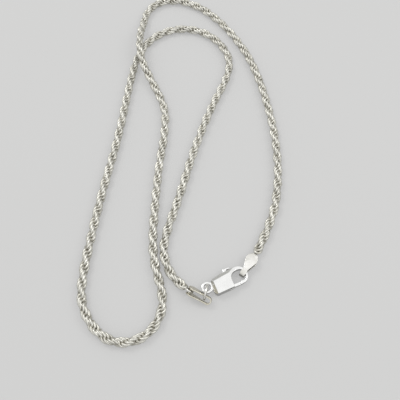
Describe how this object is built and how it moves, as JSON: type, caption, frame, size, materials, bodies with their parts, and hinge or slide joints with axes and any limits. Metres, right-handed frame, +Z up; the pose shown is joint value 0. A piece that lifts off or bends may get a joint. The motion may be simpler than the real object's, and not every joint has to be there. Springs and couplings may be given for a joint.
{
  "type": "chain necklace",
  "caption": "Fine silver-coloured rope-chain necklace closed with a lobster-claw clasp, lying in loose loops on a flat surface.",
  "frame": {"origin": "on the resting surface, under the middle of the clasp's belly", "axes": "+X along the clasp from its eye to its nose, +Y towards the far end of the loops, +Z up"},
  "size_m": [0.0714, 0.1038, 0.0051],
  "materials": {
    "chain_silver": "polished silver wire",
    "tag_silver": "tumbled satin silver",
    "clasp_silver": "polished cast silver",
    "ring_silver": "polished silver wire",
    "spring_steel": "plain spring wire"
  },
  "bodies": {
    "chain": {"rope_chain_1": "chain_silver", "rope_chain_2": "chain_silver", "rope_chain_3": "chain_silver", "rope_chain_4": "chain_silver", "rope_chain_5": "chain_silver", "rope_chain_6": "chain_silver", "rope_chain_7": "chain_silver", "rope_chain_8": "chain_silver"},
    "right_tag": {"right_end_tag": "tag_silver", "right_end_link": "chain_silver", "right_solder": "tag_silver"},
    "left_tag": {"left_end_tag": "tag_silver", "left_end_link": "chain_silver", "left_solder": "tag_silver"},
    "clasp": {"clasp_body": "clasp_silver", "gate_pin": "clasp_silver", "gate_spring": "spring_steel"},
    "gate": {"clasp_gate": "clasp_silver"},
    "ring": {"jump_ring": "ring_silver"}
  },
  "joints": [
    {"name": "right_tag_roll", "type": "hinge", "parent": "chain", "child": "right_tag", "pos_m": [0.0093, 0.00335, 0.00125], "axis": [0.7715, 0.6362, 0], "range_deg": [-4, 4]},
    {"name": "left_tag_roll", "type": "hinge", "parent": "chain", "child": "left_tag", "pos_m": [-0.0105, 0.0014, 0.0017], "axis": [0.4912, -0.8667, 0.0867], "range_deg": [-4, 4]},
    {"name": "clasp_roll", "type": "hinge", "parent": "chain", "child": "clasp", "pos_m": [-0.0055, -0.00045, 0.00115], "axis": [0.9989, 0.0466, 0], "range_deg": [-4, 4]},
    {"name": "gate_open", "type": "hinge", "parent": "clasp", "child": "gate", "pos_m": [-0.0004, -0.00045, 0.00115], "axis": [0, 0, 1], "range_deg": [0, 22], "stiffness_Nm_per_rad": 0.0001, "springref_deg": -11.46, "deforming": ["gate_spring"]},
    {"name": "ring_spin", "type": "hinge", "parent": "clasp", "child": "ring", "pos_m": [-0.00627, -0.00154, 0.002], "axis": [0.8144, -0.5803, 0], "continuous": true}
  ]
}
